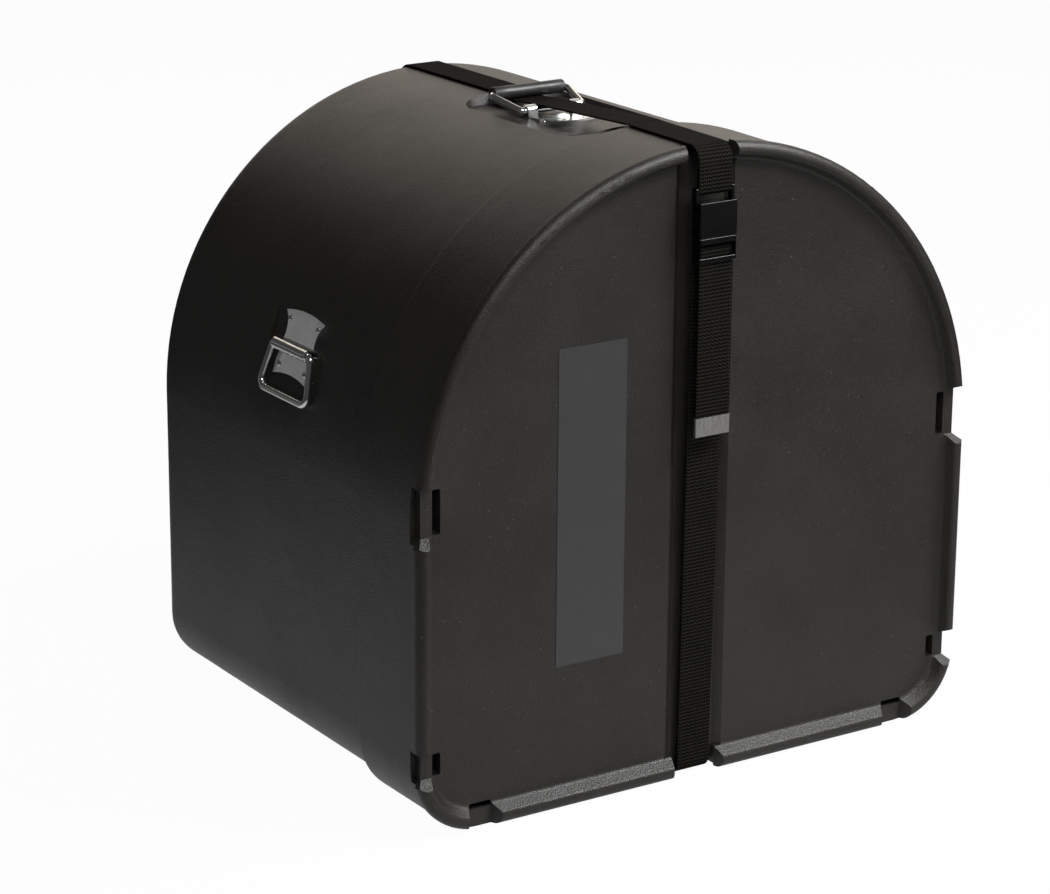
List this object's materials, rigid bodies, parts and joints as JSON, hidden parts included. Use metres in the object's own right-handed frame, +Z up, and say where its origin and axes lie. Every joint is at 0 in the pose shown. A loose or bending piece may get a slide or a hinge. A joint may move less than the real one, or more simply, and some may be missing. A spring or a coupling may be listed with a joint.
{
  "type": "drum case",
  "caption": "Hard arched drum case: a deep moulded tub, a slip-over lid, a webbing strap with a side-release buckle and riveted bail handles.",
  "frame": {"origin": "bottom centre of the bounding box: on the floor, under the middle of the case", "axes": "+X to the right when facing the lid, +Y from the lid to the back, +Z up through the top handle"},
  "size_m": [0.645, 0.5472, 0.6361],
  "materials": {
    "shell": "moulded, fine leathery grain",
    "plated_steel": "bright zinc plate",
    "webbing": "ribbed polypropylene webbing",
    "buckle_plastic": "satin moulded",
    "grip_vinyl": "soft satin vinyl",
    "tip_metal": "dull crimped sheet",
    "label": "printed vinyl sticker, plain"
  },
  "bodies": {
    "base": {"tub_shell": "shell", "strap_tub_run": "webbing", "left_handle_plate": "plated_steel", "left_handle_rivets": "plated_steel", "left_backing_plate": "plated_steel", "right_handle_plate": "plated_steel", "right_handle_rivets": "plated_steel", "right_backing_plate": "plated_steel", "top_handle_plate": "plated_steel", "top_handle_rivets": "plated_steel", "top_backing_plate": "plated_steel"},
    "lid": {"lid_shell": "shell", "face_label": "label", "strap_lid_top_run": "webbing", "strap_lid_front_run": "webbing", "buckle_housing": "buckle_plastic"},
    "tongue": {"buckle_tongue": "buckle_plastic", "strap_tail": "webbing", "strap_tip": "tip_metal"},
    "prong_left": {"buckle_prong_left": "buckle_plastic"},
    "prong_right": {"buckle_prong_right": "buckle_plastic"},
    "top_bail": {"top_bail": "plated_steel", "top_grip": "grip_vinyl"},
    "left_bail": {"left_bail": "plated_steel"},
    "right_bail": {"right_bail": "plated_steel"}
  },
  "joints": [
    {"name": "lid_slide", "type": "slide", "parent": "base", "child": "lid", "axis": [0, -1, 0], "range_m": [0, 0.2]},
    {"name": "tongue_slide", "type": "slide", "parent": "lid", "child": "tongue", "axis": [0, 0, -1], "range_m": [0, 0.03]},
    {"name": "prong_left_press", "type": "hinge", "parent": "tongue", "child": "prong_left", "pos_m": [-0.0145, -0.2671, 0.5516], "axis": [0, 1, 0], "range_deg": [0, 6], "stiffness_Nm_per_rad": 0.5},
    {"name": "prong_right_press", "type": "hinge", "parent": "tongue", "child": "prong_right", "pos_m": [0.0145, -0.2671, 0.5516], "axis": [0, -1, 0], "range_deg": [0, 6], "stiffness_Nm_per_rad": 0.5},
    {"name": "top_bail_swing", "type": "hinge", "parent": "base", "child": "top_bail", "pos_m": [0, 0.0094, 0.61918], "axis": [1, 0, 0], "range_deg": [0, 140]},
    {"name": "left_bail_swing", "type": "hinge", "parent": "base", "child": "left_bail", "pos_m": [-0.29922, 0.0094, 0.41386], "axis": [0, 1, 0], "range_deg": [0, 150]},
    {"name": "right_bail_swing", "type": "hinge", "parent": "base", "child": "right_bail", "pos_m": [0.29922, 0.0094, 0.41386], "axis": [0, -1, 0], "range_deg": [0, 150]}
  ]
}
